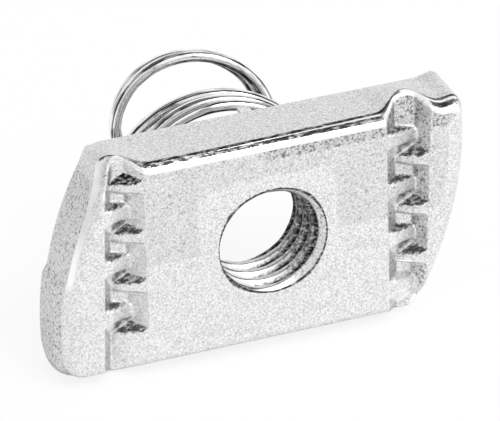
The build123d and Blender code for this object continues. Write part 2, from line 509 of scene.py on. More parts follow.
def rosette(rings: Sequence[Tuple[float, int]]) -> List[Tuple[float, float]]:
    """Places in a unit disc that a surface is averaged over.

    Args:
        rings: each ring's radius and number of places.

    Returns:
        Offsets, with the middle first.
    """
    places = [(0.0, 0.0)]
    for ring, (radius, count) in enumerate(rings):
        for k in range(count):
            angle = 2 * math.pi * (k + 0.5 * (ring % 2)) / count
            places.append((radius * math.cos(angle), radius * math.sin(angle)))
    return places


@dataclass(frozen=True)
class ToothPlane:
    """One end plane of a wedge, through three (across, depth, height) corners."""

    corners: Tuple[Corner, Corner, Corner]

    def depth_at(self, across: Array, height: Array) -> Array:
        """Finds where the plane lies.

        Args:
            across: places across the groove.
            height: their heights above the tooth's middle.

        Returns:
            Its depth below the toothed face at each place.
        """
        (a0, d0, h0), (a1, d1, h1), (a2, d2, h2) = self.corners
        area = (a1 - a0) * (d2 - d0) - (a2 - a0) * (d1 - d0)
        slope_across = ((h1 - h0) * (d2 - d0) - (h2 - h0) * (d1 - d0)) / area
        slope_depth = ((a1 - a0) * (h2 - h0) - (a2 - a0) * (h1 - h0)) / area
        return d0 + (height - h0 - slope_across * (across - a0)) / slope_depth


@dataclass(frozen=True)
class Teeth:
    """The two toothed grooves, as depth below the toothed face."""

    spacing: float = 24.9
    width: float = 3.9
    depth: float = 1.5
    inner_run: float = 1.3
    outer_run: float = 1.0
    taper: float = 0.04
    pitch: float = 4.52
    count: int = 4
    left_row_top: float = 7.85
    right_row_top: float = 5.05
    meeting_skew: float = 0.92
    upper_crest: Tuple[float, float] = (2.45, 1.08)
    upper_top: Tuple[float, float] = (2.55, 2.1)
    lower_crest: Tuple[float, float] = (0.15, -1.1)
    lower_bottom: Tuple[float, float] = (-0.9, -1.55)
    shoulder_reach: float = 0.7
    shoulder_drop: float = 0.08
    upper_foot: Tuple[float, float] = (1.2, 1.15)
    # How dark the teeth's tops are painted: tool marks together with painted shade.
    first_tooth_strike_and_shade: float = 1.0
    later_teeth_strike_and_shade: float = 0.75
    last_tooth_strike_and_shade: float = 0.1
    # Painted shade on the groove walls, faint on the left groove's right wall.
    wall_shade: float = 0.4
    faint_wall_shade: float = 0.05
    wall_reach: Tuple[float, float] = (0.04, 0.97)
    least_depth: float = 0.02

    def strike_and_shade_level(self, side: Side, index: int) -> float:
        """How dark a tooth's top is painted, for tool marks and the shade that falls on it: fully on the
        first one and hardly at all on the last one, at the lower right edge."""
        if side is Side.LEFT:
            return self.first_tooth_strike_and_shade if index == 0 else self.later_teeth_strike_and_shade
        return self.last_tooth_strike_and_shade if index == self.count - 1 else self.later_teeth_strike_and_shade

    def runs(self, side: Side) -> Tuple[float, float]:
        """Sideways runs of a groove's left wall and of its right wall."""
        runs = (self.outer_run, self.inner_run)
        return runs if side is Side.LEFT else runs[::-1]

    def inner_edge(self, side: Side) -> float:
        """X of a groove's edge nearer the hole."""
        return side.value * (self.spacing / 2 - self.width / 2)

    def outer_edge(self, side: Side, height: Array, half_width: float) -> Array:
        """X of a groove's outer edge, which tapers along it."""
        reach = self.spacing / 2 + self.width / 2
        return side.value * (reach + self.taper * (side.value * height - half_width / 2))

    def wedges(self, side: Side, run_out: float) -> Tuple[Tuple[ToothPlane, ToothPlane],
                                                          Tuple[ToothPlane, ToothPlane]]:
        """The end planes of a tooth's two wedges.

        Args:
            side: the groove.
            run_out: how much longer the lower wedge is.

        Returns:
            The top and bottom planes of the upper wedge, which leans on the left wall, and of the
            lower one, which leans on the right wall.
        """
        left_run, right_run = self.runs(side)
        deep, low, high = self.depth, -self.meeting_skew / 2, self.meeting_skew / 2
        near, far = left_run, self.width - right_run
        upper = (
            ToothPlane(((0, 0, self.upper_crest[0]), (near, deep, self.upper_top[0]),
                        (far, deep, self.upper_top[1]))),
            ToothPlane(((0, 0, self.upper_crest[1]), (near, deep, low), (far, deep, high))),
        )
        near, far = right_run, self.width - left_run
        lower = (
            ToothPlane(((0, 0, self.lower_crest[0]), (near, deep, high), (far, deep, low))),
            ToothPlane(((0, 0, self.lower_crest[1] - run_out),
                        (near, deep, self.lower_bottom[1] - run_out),
                        (far, deep, self.lower_bottom[0] - run_out))),
        )
        return upper, lower

    def wedge_depth(self, planes: Tuple[ToothPlane, ToothPlane], far: float, foot: float,
                    across: Array, height: Array) -> Tuple[Array, Array, Array]:
        """One wedge's skin.

        Args:
            planes: its top and bottom planes.
            far: how far across its ramp ends.
            foot: how deep its ramp is there.
            across: distance from the wall that it leans on.
            height: height above the tooth's middle.

        Returns:
            Its depth, and whether each place is on its top plane and on its bottom one.
        """
        ramp = np.interp(across, [0, self.shoulder_reach, far], [0, self.shoulder_drop, foot])
        top = planes[0].depth_at(across, height)
        bottom = planes[1].depth_at(across, height)
        rest = np.maximum(ramp, bottom)
        return np.maximum(top, rest), top > rest, bottom > np.maximum(ramp, top)

    def surface(self, x: Array, z: Array, half_width: float) -> Tuple[Array, Array, Array]:
        """The two grooves with their teeth.

        Args:
            x: places along the plate.
            z: places across it.
            half_width: half the plate's width.

        Returns:
            The depth below the flat level, how far each place is painted dark for tool marks and painted
            shade, which is less on the walls than on the wedges' tops, and how far it is a wedge's
            underside, which gets a painted highlight.
        """
        depth, struck_and_shade, underside_highlight = np.zeros_like(x), np.zeros_like(x), np.zeros_like(x)
        for side in Side:
            inner = self.inner_edge(side)
            outer = self.outer_edge(side, z, half_width)
            left, right = (outer, inner) if side is Side.LEFT else (inner, outer)
            left_run, right_run = self.runs(side)
            from_left, from_right = x - left, right - x
            groove = np.minimum(np.minimum(from_left / left_run, from_right / right_run), 1) * self.depth
            # painted shade on the groove walls, faint on the left groove's right wall
            right_wall = self.faint_wall_shade if side is Side.LEFT else self.wall_shade
            wall = np.where(from_left / left_run < from_right / right_run, self.wall_shade, right_wall)
            low, high = self.wall_reach
            on_top = np.where((groove < self.depth * high) & (groove > self.depth * low), wall, 0.0)
            top = self.left_row_top if side is Side.LEFT else self.right_row_top
            upper_foot = self.upper_foot[0] if side is Side.LEFT else self.upper_foot[1]
            under = np.zeros_like(x)
            for index in range(self.count):
                upper, lower = self.wedges(side, self.pitch if index == self.count - 1 else 0.0)
                height = z - (top - index * self.pitch)
                leaning = [(lower, self.width - left_run, self.depth, from_right)]
                if side is Side.RIGHT or index > 0:
                    leaning.append((upper, self.width - right_run, upper_foot, from_left))
                for planes, far, foot, across in leaning:
                    skin, is_top, is_bottom = self.wedge_depth(planes, far, foot, across, height)
                    # painted shade and tool marks on this wedge's top
                    level = self.strike_and_shade_level(side, index)
                    on_top = np.where(skin < groove, is_top * level, on_top)
                    # the upper wedge's underside, which gets a painted highlight
                    under = np.where(skin < groove, is_bottom * (planes is upper), under)
                    groove = np.minimum(groove, skin)
            inside = groove > self.least_depth
            depth = np.maximum(depth, np.clip(groove, 0.0, self.depth))
            struck_and_shade = np.where(inside, on_top, struck_and_shade)
            underside_highlight = np.where(inside, under, underside_highlight)
        return depth, struck_and_shade, underside_highlight


@dataclass(frozen=True)
class Thread:
    """The real M10 thread that is cut in the hole."""

    major: float = 10.0
    pitch: float = 1.5
    rim: float = 9.25
    rim_slope: float = 1.3
    battered: float = 0.85
    battered_towards: float = 12.0
    start_angle: float = 200.0
    root_at: Stretch = (0.1, 0.5)
    # Painted shade in the thread's roots and over its battered side.
    root_shade: float = 0.75
    battered_side_shade: Tuple[float, float] = (0.7, 0.2)
    # painted highlight on the thread's crests
    crest_highlight: float = 0.7

    @property
    def minor(self) -> float:
        """Diameter over the crests, that of the drilled hole."""
        return self.major - self.pitch

    def battered_at(self, angle: Array) -> Array:
        """How far round the front rim each direction is towards its battered side, from 0 to 1."""
        return 0.5 + 0.5 * np.cos(angle - math.radians(self.battered_towards))

    def front_radius_at(self, angle: Array) -> Array:
        """Radius of the front rim, which is wider on its battered side."""
        return self.minor / 2 + 0.03 + self.battered * self.battered_at(angle) ** 1.2

    def radius_at(self, angle: Array, depth: Array, thickness: float) -> Array:
        """Radius of the hole's wall, with a right-hand thread.

        Args:
            angle: direction from +X towards +Z, in radians.
            depth: distance back from the toothed face.
            thickness: the plate's thickness.

        Returns:
            The wall's radius at each place.
        """
        turn = depth / self.pitch + (angle - math.radians(self.start_angle)) / (2 * math.pi)
        off = np.abs(turn - np.round(turn)) * self.pitch
        flat = self.pitch / 16
        root = self.major / 2 - np.maximum(off - flat, 0.0) / math.tan(math.radians(30))
        cut = np.maximum(root - self.minor / 2, 0) * smooth_step((depth + 0.1) / 0.9)
        wall = self.minor / 2 + cut
        return np.maximum(wall, np.maximum(self.front_radius_at(angle) - depth * self.rim_slope,
                                           self.rim / 2 - (thickness - depth) * self.rim_slope))

    def marks_at(self, angle: Array, radius: Array) -> Tuple[Array, Array]:
        """The thread's painted highlight and painted shade.

        Args:
            angle: direction from +X towards +Z, in radians.
            radius: the wall's radius there.

        Returns:
            The painted highlight on the crests, and the painted shade in the roots and on the battered
            side.
        """
        root = smooth_step((radius - self.minor / 2 - self.root_at[0]) / self.root_at[1])
        # how far towards the battered side, where the threads are painted darker as shade
        worn = self.battered_at(angle) ** 1.5
        dark = self.root_shade * root ** 2 + worn * (self.battered_side_shade[0] + self.battered_side_shade[1] * root)
        return self.crest_highlight * (1 - root) * (1 - worn), np.clip(dark, 0, 1)


@dataclass(frozen=True)
class Roll:
    """How far the press rolls the toothed face's edge, inwards and downwards, and the line that it
    leaves along the upper one."""

    long_width: float = 0.92
    long_drop: float = 0.72
    drop_growth: float = 0.033
    growth_start: float = -5.0
    lower_extra: float = 0.07
    squeeze: float = 0.6
    end_width: float = 1.25
    end_drop: float = 1.5
    pinch: float = 0.5
    pinch_at: Stretch = (4.5, 2.5)
    crest_drop: float = 1.05
    crest_growth: float = 0.09
    crest_growth_start: float = 4.0
    crest_end: Stretch = (0.2, 2.2)
    crisp_at: Stretch = (-1.6, 1.6)
    turning: float = 1.7
    sharp_turning: float = 0.8
    stop_degrees: float = 66.0
    line_at: float = 0.78
    line_reach: float = 0.15
    line_edge: float = 0.04
    line_depth: float = 0.05

    def width_at(self, z: Array, end: Array, left: Array, swollen: Array) -> Array:
        """Width of the roll.

        Args:
            z: places across the plate.
            end: how far the nearest edge is an end, from 0 to 1.
            left: whether that end is the left one.
            swollen: height of the swells there, as a share of their rise.

        Returns:
            The width, which swells squeeze along the upper edge and which is pinched at the upper
            left.
        """
        long_width = self.long_width * (1 - swollen * np.where(z > 0, self.squeeze, 0.0))
        end_width = self.end_width * (1 - self.pinch * rises(z, *self.pinch_at) * left)
        return long_width + (end_width - long_width) * end

    def long_drop_at(self, x: Array) -> Array:
        """Depth of the rolled long edge, which the press drew deeper towards the right end."""
        return self.long_drop + self.drop_growth * np.maximum(x - self.growth_start, 0)

    def end_drop_at(self, z: Array, left: Array) -> Array:
        """Depth of the rolled end.

        Args:
            z: places across the plate.
            left: whether the end is the left one.

        Returns:
            The depth, which is less along the left end's upper part.
        """
        crest = self.crest_drop + self.crest_growth * np.maximum(z - self.crest_growth_start, 0) ** 2
        eased = crest + (self.end_drop - crest) * falls(z, *self.crest_end)
        return np.where(left, eased, np.full_like(z, self.end_drop))

    def profile(self, rise: Array, end: Array) -> Array:
        """The roll's section.

        Args:
            rise: share of its width, from 0 at its inner side to 1 at the edge.
            end: how far the place is at an end, where the roll stops short of upright.

        Returns:
            The share of its drop there.
        """
        steep = 1 - np.sqrt(np.clip(1 - rise ** 2, 0, 1))
        stop = math.radians(self.stop_degrees)
        short = (1 - np.sqrt(1 - (rise * math.sin(stop)) ** 2)) / (1 - math.cos(stop))
        return steep + (short - steep) * end

    def line(self, rise: Array) -> Array:
        """How far each share of the roll's width is in the pressed line, from 0 to 1."""
        return smooth_step((self.line_reach - np.abs(rise - self.line_at)) / self.line_edge)


@dataclass
class Spots:
    """What is known of every place on the toothed side when its marks are laid."""

    x: Array
    z: Array
    end: Array
    rise: Array
    share: Array
    drop: Array
    relief: Array
    struck_and_shade: Array
    underside_highlight: Array
    crest: Array
    crisp: Array


@dataclass(frozen=True)
class Marks:
    """Where the toothed side is burnished and painted bright as a highlight, and where it is painted dark
    for tool marks and shade.
    """

    band_from: Stretch = (-11.6, 1.2)
    line_until: Stretch = (11.0, 1.0)
    line_again: Stretch = (14.4, 0.6)
    # painted shade along the pressed line
    pressed_line_shade: float = 0.82
    # painted shade along the roll's outer edge, wider on the left swell's flank
    rim_shade_reach: float = 0.4
    flank_shade_reach: float = 0.9
    flank_shade_at: Stretch = (-11.3, 0.7)
    rim_fade: float = 0.2
    rim_from: Stretch = (0.3, 0.15)
    rim_turn: float = 4.0
    # faint painted shade line where the upper roll begins
    faint_line_shade: float = 0.62
    faint_at: Stretch = (0.05, 0.08)
    band_rise: float = 6.0
    crisp_from: Stretch = (0.8, 0.05)
    crest_clean: float = 0.9
    crest_highlight: float = 0.8
    strip_x: Stretch = (-14.3, 0.25)
    strip_z: Stretch = (6.3, 1.6)
    strip_relief: float = 0.1
    # painted highlight on a strip at the upper left of the face
    strip_highlight: float = 0.9
    underside_highlight_level: float = 0.8

    def band(self, spots: Spots) -> Array:
        """How far each place is on the upper roll, right of the left swell."""
        return np.where(spots.z > 0, rises(spots.x, *self.band_from), 0.0) * (1 - spots.end)

    def lined(self, spots: Spots) -> Array:
        """How far the pressed line shows: it breaks off at the right swell."""
        band = self.band(spots)
        return band * falls(spots.x, *self.line_until) + band * rises(spots.x, *self.line_again)

    def lay(self, spots: Spots, line: Array) -> Tuple[Array, Array]:
        """Lays every mark.

        Args:
            spots: the places.
            line: how far each is in the pressed line.

        Returns:
            How far each place is burnished and painted bright as a highlight, and how dark it is painted
            for tool marks and shade.
        """
        # painted shade along the pressed line
        band, line = self.band(spots), self.pressed_line_shade * line
        # painted shade along the upper roll's outer edge, spreading over the left swell's flank
        reach = self.rim_shade_reach + self.flank_shade_reach * hill(spots.x, *self.flank_shade_at)
        rim = smooth_step((reach - (1 - spots.share) * spots.drop) / self.rim_fade)
        rim = rim * rises(spots.share, *self.rim_from)
        rim = rim * np.where(spots.z > 0, smooth_step((1 - spots.end) * self.rim_turn), 0.0)
        # a faint painted shade line where the upper roll begins
        faint = self.faint_line_shade * hill(spots.rise, *self.faint_at) * band
        struck_and_shade = np.maximum(np.maximum(spots.struck_and_shade * (1 - spots.share), line), np.maximum(rim, faint))
        struck_and_shade = struck_and_shade * (1 - self.crest_clean * spots.crest)
        # painted highlight over the upper roll's band, with its burnish, and on the teeth's crests
        burnish_and_highlight = np.maximum(smooth_step(spots.rise * self.band_rise) * band * (1 - line) * (1 - rim),
                            self.crest_highlight * spots.crest)
        # painted highlight along the left end's crisp crest
        crisp = rises(spots.rise, *self.crisp_from) * spots.crisp * spots.end
        # painted highlight on a strip at the upper left of the face
        strip = falls(spots.x, *self.strip_x) * rises(spots.z, *self.strip_z)
        strip = self.strip_highlight * (strip * (1 - smooth_step(spots.relief / self.strip_relief)))
        # painted highlight on the upper wedges' undersides
        underside_highlight = self.underside_highlight_level * spots.underside_highlight * (1 - spots.share)
        return np.maximum(np.maximum(burnish_and_highlight, np.maximum(crisp, strip)), underside_highlight), struck_and_shade


@dataclass(frozen=True)
class Bump:
    """A round push in the plate's walls, in plan."""

    x: float
    z: float
    reach: float
    height: float

    def at(self, x: Array, z: Array) -> Array:
        """Its push at each place."""
        return self.height * np.exp(-((x - self.x) ** 2 + (z - self.z) ** 2) / self.reach ** 2)


@dataclass(frozen=True)
class Swell:
    """Metal that a groove pushed out over the upper long edge."""

    middle: float
    rise: float
    left: float
    right: float
    sink: float

    def share(self, x: Array) -> Array:
        """Its height along the edge, as a share of its rise."""
        off = x - self.middle
        off = np.where(off < 0, off / self.left, off / self.right)
        return 0.5 + 0.5 * np.cos(np.pi * np.clip(off, -1, 1))


@dataclass
class NutPlate:
    """The pressed plate: outline, rolled edge, grooves, swells, thread, back and lugs."""

    length: float = 35.4
    width: float = 18.3
    thickness: float = 6.0
    end_radius: float = 29.5
    end_crest: float = 6.6
    top_corners: Tuple[float, float] = (1.0, 0.9)
    bottom_corners: Tuple[float, float] = (1.3, 1.7)
    back_edge: float = 0.2
    teeth: Teeth = field(default_factory=Teeth)
    thread: Thread = field(default_factory=Thread)
    roll: Roll = field(default_factory=Roll)
    marks: Marks = field(default_factory=Marks)
    swells: Tuple[Swell, ...] = (Swell(-12.7, 0.78, 1.7, 2.95, 0.95), Swell(12.72, 1.21, 2.6, 3.2, 0.8))
    right_rise: float = 0.2
    right_rise_at: Stretch = (15.2, 2.0)
    sink_slopes: Tuple[float, float] = (0.413, 0.567)
    sink_samples: int = 4
    sink_spacing: Tuple[float, float] = (0.1, 0.2)
    sink_along_at: Stretch = (-6.0, 1.5)
    push_at: Stretch = (7.4, 1.1)
    hole_block: float = 6.2
    back_ring: float = 7.0
    groove_zone: float = 10.2
    edge_softness: float = 0.085
    flare: float = 0.4
    flare_at: Tuple[Stretch, Stretch] = ((15.2, 2.1), (8.0, 0.9))
    step: float = 0.32
    step_at: Tuple[Stretch, Stretch] = ((-14.0, 1.0), (-0.7, 1.1))
    bulge: Bump = Bump(-16.6, -8.6, 1.7, 0.45)
    peak: Bump = Bump(-13.7, 8.9, 0.6, 0.6)
    hole_edge: float = 0.05
    hole_margins: Tuple[float, float] = (0.008, 0.03)
    hole_lip: float = 0.6
    thread_step: float = 0.1
    rim_mark: float = 0.8
    chamfer_mark: float = 0.3
    # Painted shade on the plate's outer walls, more at the left end, and a painted shade line along their
    # front edge at the top and at the upper left.
    rim_wall_shade: float = 0.14
    left_end_wall_shade: float = 0.2
    left_wall_at: Stretch = (-14.0, 0.3)
    upper_edge_at: Stretch = (-0.3, 0.2)
    left_edge_shade: float = 0.7
    left_edge_at: Stretch = (0.5, 2.0)
    edge_shade_reach: float = 0.02
    back_margin: float = 0.12
    block_grid: Tuple[int, int] = (31, 131)
    upper_rows: int = 22
    inner_columns: int = 11
    groove_columns: int = 82
    groove_stop: float = 1.08
    lug_width: float = 0.95
    lug_offset: float = 0.7
    lug_height: float = 1.3
    lug_inner: float = 8.6
    lug_outer: float = 9.05
    lug_lean: float = 0.06
    lug_bevel: float = 0.05

    @property
    def half_width(self) -> float:
        """Half the plate's width."""
        return self.width / 2

    # --- plan outline ---

    def corner_at(self, x: Array, z: Array) -> Array:
        """Radius of the nearest corner."""
        low = np.where(x < 0, self.bottom_corners[0], self.bottom_corners[1])
        high = np.where(x < 0, self.top_corners[0], self.top_corners[1])
        return np.where(z > 0, high, low)

    def end_distance(self, x: Array, z: Array) -> Array:
        """Distance inside the nearer bowed end."""
        side = np.where(x >= 0, 1.0, -1.0)
        middle = self.length / 2 - self.end_radius
        return self.end_radius - np.hypot(side * x - middle, side * z - self.end_crest)

    def edge_distance(self, x: Array, z: Array) -> Tuple[Array, Array]:
        """Distance inside the outline, and how far the nearest part of it is an end.

        Args:
            x: places along the plate.
            z: places across it.

        Returns:
            The distance, and a weight from 0 at a long edge to 1 at an end.
        """
        from_end = self.end_distance(x, z)
        from_long = self.half_width - np.abs(z)
        corner = self.corner_at(x, z)
        near_end = np.maximum(corner - from_end, 0)
        near_long = np.maximum(corner - from_long, 0)
        inside = np.where((near_end > 0) & (near_long > 0),
                          corner - np.hypot(near_end, near_long),
                          np.minimum(from_end, from_long))
        turning = np.where((x < 0) & (z > 0), self.roll.sharp_turning, self.roll.turning)
        turn_end = np.maximum(turning - from_end, 1e-6)
        turn_long = np.maximum(turning - from_long, 1e-6)
        weight = np.arctan2(turn_end, turn_long) / (math.pi / 2)
        return inside, smooth_step(weight)

    def end_reach(self, z: Array, side: int) -> Array:
        """Finds the outline at one end.

        Args:
            z: places across the plate.
            side: the end, -1 or 1.

        Returns:
            Its X at each place.
        """
        corner = self.corner_at(np.full_like(z, side), z)
        from_long = self.half_width - np.abs(z)
        near_long = np.clip(corner - from_long, 0, corner)
        from_end = corner - np.sqrt(corner ** 2 - near_long ** 2)
        middle = self.length / 2 - self.end_radius
        reach = np.sqrt((self.end_radius - from_end) ** 2 - (side * z - self.end_crest) ** 2)
        return side * (middle + reach)

    # --- toothed side ---

    def relief(self, x: Array, z: Array) -> Tuple[Array, Array, Array, Array]:
        """The grooves and teeth with every edge a little worn.

        Args:
            x: places along the plate.
            z: places across it.

        Returns:
            Their depth, how much of each place is painted dark for tool marks and painted shade, how much
            is a wedge's underside with a painted highlight, and how sharply the place stands out.
        """
        fine = rosette([(0.5, 6), (1.0, 10)])
        worn, struck_and_shade, underside_highlight = np.zeros_like(x), np.zeros_like(x), np.zeros_like(x)
        sharp = None
        for dx, dz in fine:
            depth, hit, under = self.teeth.surface(
                x + dx * self.edge_softness, z + dz * self.edge_softness, self.half_width)
            sharp = depth if sharp is None else sharp
            worn += depth
            struck_and_shade += hit
            underside_highlight += under
        worn /= len(fine)
        return worn, struck_and_shade / len(fine), underside_highlight / len(fine), smooth_step((worn - sharp - 0.008) / 0.03)

    def lift(self, x: Array, z: Array) -> Tuple[Array, Array]:
        """How far the metal is pushed out at the rim.

        Args:
            x: places along the plate.
            z: places across it.

        Returns:
            The push along the plate and across it: up over the swells, and down and outwards where
            a groove's lower end sinks.
        """
        up = np.zeros_like(x)
        for swell in self.swells:
            up += swell.rise * swell.share(x)
        up += self.right_rise * rises(x, *self.right_rise_at)
        down = np.zeros_like(x)
        near_end = smooth_step(1.2 - self.end_distance(x, z) / 2)
        spacing = self.sink_spacing[0] + self.sink_spacing[1] * near_end * (x > 0)
        edge = np.full_like(x, -self.half_width)
        for k in range(-self.sink_samples, self.sink_samples + 1):
            depth = self.teeth.surface(x + spacing * k, edge, self.half_width)[0]
            down += depth / (2 * self.sink_samples + 1)
        along = self.sink_slopes[0] * down * near_end * np.where((x > 0) & (z < 0), 1.0, 0.0)
        return along * falls(z, *self.sink_along_at), np.where(z > 0, up, -self.sink_slopes[1] * down)

    def front_skin(self, x: Array, z: Array) -> Tuple[Array, Array, Array, Array, Array]:
        """The whole toothed side over its plain outline.

        Args:
            x: places along the plate.
            z: places across it, before the metal is pushed out.

        Returns:
            Where along and across the plate each place is pushed to, its depth, how far it is burnished and
            painted bright as a highlight, and how dark it is painted for tool marks and shade.
        """
        along, across = self.lift(x, z)
        pushed_x, pushed = x + along, z + across * rises(np.abs(z), *self.push_at)
        inside, end = self.edge_distance(x, z)
        left = (x < 0) & (end > 0)
        swollen = sum(swell.share(x) for swell in self.swells)
        rise = np.clip(1 - inside / self.roll.width_at(z, end, left, swollen), 0, 1)
        crisp = np.where(left, rises(z, *self.roll.crisp_at), 0.0)
        relief, struck_and_shade, underside_highlight, crest = self.relief(pushed_x, pushed)
        sink = sum(swell.sink * swell.share(x) for swell in self.swells)
        long_drop = np.where(z > 0, self.roll.long_drop_at(x) + sink,
                             self.roll.long_drop + self.roll.lower_extra + relief)
        drop = long_drop + (self.roll.end_drop_at(z, left) - long_drop) * end
        share = self.roll.profile(rise, crisp * end)
        depth = relief + (np.maximum(drop, relief) - relief) * share
        spots = Spots(x, z, end, rise, share, drop, relief, struck_and_shade, underside_highlight, crest, crisp)
        line = self.roll.line(rise) * self.marks.lined(spots)
        burnish_and_highlight, struck_and_shade = self.marks.lay(spots, line)
        return pushed_x, pushed, depth + self.roll.line_depth * line, burnish_and_highlight, struck_and_shade

    def rows(self) -> Array:
        """Heights of the mesh's rows, close together round the rolled edges."""
        rolled = np.array([1.0, 0.99, 0.98, 0.965, 0.945, 0.92, 0.89, 0.86, 0.83, 0.8, 0.77, 0.74, 0.71,
                           0.67, 0.6, 0.52, 0.43, 0.34, 0.24, 0.14, 0.07, 0.0])
        beyond = np.array([0.05, 0.12, 0.2])
        near = np.concatenate([self.roll.long_width * (1 - rolled), self.roll.long_width + beyond])
        top = self.half_width - near[::-1]
        upper = np.linspace(self.hole_block, top[0], self.upper_rows)[:-1]
        middle = np.linspace(-self.hole_block, self.hole_block, self.block_grid[1])
        positive = np.concatenate([upper[1:], top])
        return np.concatenate([-positive[::-1], middle, positive])

    def columns(self, rows: Array) -> Array:
        """Places the mesh's columns.

        Args:
            rows: heights of its rows.

        Returns:
            X of every point of the toothed side, by column and row.
        """
        turn = np.radians([0, 8, 20, 32, 44, 56, 68, 80, 90])
        rolled = self.roll.end_width * (1 - np.cos(turn))
        middle = np.linspace(-self.hole_block, self.hole_block, self.block_grid[0])
        inner = np.linspace(self.hole_block, self.groove_zone, self.inner_columns)[1:-1]
        steps = self.groove_columns
        columns = []
        for side in (-1, 1):
            reach = self.end_reach(rows, side)
            wing = [np.full_like(rows, side * x) for x in inner]
            start = np.full_like(rows, side * self.groove_zone)
            stop = reach - side * rolled[-1] * self.groove_stop
            wing += [start + (stop - start) * k / steps for k in range(steps + 1)]
            wing += [reach - side * d for d in rolled[::-1]]
            columns.append(wing)
        left = columns[0][::-1]
        return np.array(left + [np.full_like(rows, x) for x in middle] + columns[1])

    def front(self, skin: Skin) -> Tuple[Array, Array, Array]:
        """Builds the toothed side.

        Args:
            skin: the mesh that grows.

        Returns:
            The numbers of the outline's points, how far each was pushed out along and across the
            plate, and the numbers of the hole's rim.
        """
        rows = self.rows()
        x = self.columns(rows)
        z = np.broadcast_to(rows, x.shape)
        pushed_x, pushed, depth, burnish_and_highlight, struck_and_shade = self.front_skin(x, z)
        block = (np.abs(x) < self.hole_block - 1e-6) & (np.abs(z) < self.hole_block - 1e-6)
        numbers = np.full(x.shape, -1)
        kept = ~block
        numbers[kept] = skin.add(np.stack([pushed_x, depth, pushed], axis=-1)[kept], burnish_and_highlight[kept],
                                 struck_and_shade[kept])
        skin.weave(numbers)
        shift = np.stack([pushed_x - x, pushed - z], axis=-1)
        outline, shift = (np.concatenate([grid[:-1, 0], grid[-1, :-1], grid[:0:-1, -1], grid[0, :0:-1]])
                          for grid in (numbers, shift))
        on_block = (np.abs(np.abs(x) - self.hole_block) < 1e-6) & (np.abs(z) < self.hole_block + 1e-6)
        on_block |= (np.abs(np.abs(z) - self.hole_block) < 1e-6) & (np.abs(x) < self.hole_block + 1e-6)
        ring = numbers[on_block]
        angle = np.arctan2(z[on_block], x[on_block])
        order = np.argsort(angle)
        ring, angle = ring[order], angle[order]
        square = np.stack([x[on_block][order], z[on_block][order]], axis=-1)
        return outline, shift, self.hole(skin, ring, angle, square)

    def hole(self, skin: Skin, ring: Array, angle: Array, square: Array) -> Array:
        """Joins the toothed side to the hole and cuts its thread.

        Args:
            skin: the mesh that grows.
            ring: numbers of the points round the hole.
            angle: their directions.
            square: their x and z.

        Returns:
            The numbers of the rim's points on the back.
        """
        rim = self.thread.radius_at(angle, np.zeros_like(angle), self.thickness)
        inner = np.stack([rim * np.cos(angle), rim * np.sin(angle)], axis=-1)
        rings = [ring]
        for share in (0.2, 0.4, 0.58, 0.73, 0.85, 0.92, 0.96, 0.98):
            flat = square + (inner - square) * share
            points = np.stack([flat[:, 0], np.zeros(len(flat)), flat[:, 1]], axis=-1)
            rings.append(skin.add(points, 0.0, self.rim_mark if share > 0.95 else 0.0))
        front = self.thread.front_radius_at(angle)
        edge, margins = self.hole_edge, np.array(self.hole_margins)
        cut = np.arange(edge + 0.02, self.thickness - edge, self.thread_step)
        for depth in np.concatenate([margins, cut, self.thickness - margins[::-1]]):
            radius = self.thread.radius_at(angle, np.full_like(angle, depth), self.thickness)
            from_face = min(depth, self.thickness - depth)
            radius = radius + np.maximum(edge - from_face, 0) ** 2 / edge * self.hole_lip
            burnish_and_highlight, struck_and_shade = self.thread.marks_at(angle, radius)
            chamfer = smooth_step((front - depth * self.thread.rim_slope - radius + 0.03) / 0.02)
            struck_and_shade = np.where(depth > edge, struck_and_shade + (self.chamfer_mark - struck_and_shade) * chamfer, self.rim_mark)
            rings.append(skin.add(circle(radius, angle, depth), burnish_and_highlight, struck_and_shade))
        skin.weave(np.array(rings), around=True)
        return rings[-1]

    # --- walls and back ---

    def wall_push(self, x: Array, z: Array, lift: Array, share: Array) -> Tuple[Array, Array]:
        """How far the wall is pushed along and across the plate.

        Args:
            x: places round the rim.
            z: their heights before the metal is pushed out.
            lift: how far the toothed side's edge is pushed out along and across the plate there.
            share: how far back each place is, from 0 at the front to 1 at the back.

        Returns:
            The push along X and along Z.
        """
        swelling = lift * (1 - share)[:, None] ** 0.9
        flare = self.flare * rises(x, *self.flare_at[0]) * rises(z, *self.flare_at[1]) * share
        sheared = falls(z, *self.step_at[1]) * falls(x, *self.step_at[0])
        step = self.step * sheared * smooth_step(share * 5)
        bulge = self.bulge.at(x, z) * np.sin(np.pi * share)
        peak = self.peak.at(x, z) * smooth_step(share * 1.5)
        return swelling[:, 0] - step - bulge, swelling[:, 1] + flare - bulge + peak

    def walls(self, skin: Skin, outline: Array, shift: Array) -> Array:
        """Builds the plate's rim from the rolled edge to the back.

        Args:
            skin: the mesh that grows.
            outline: numbers of the points round the toothed side.
            shift: how far each of them is pushed out along and across the plate.

        Returns:
            The numbers of the back's outline.
        """
        places = np.concatenate(skin.points)[outline]
        x, start, z = places[:, 0] - shift[:, 0], places[:, 1], places[:, 2] - shift[:, 1]
        stop = self.thickness - self.back_edge
        left_end = falls(x, *self.left_wall_at)
        # painted shade line along the wall's front edge at the top and at the upper left
        upper = np.maximum(rises(z - self.half_width, *self.upper_edge_at),
                           self.left_edge_shade * left_end * rises(z, *self.left_edge_at))
        rings = [outline]
        for share in (0.006, 0.014, 0.035, 0.08, 0.15, 0.25, 0.35, 0.45, 0.55, 0.65, 0.75, 0.85, 0.93, 1.0):
            level = start + (stop - start) * share
            along, across = self.wall_push(x, z, shift, np.full_like(x, share))
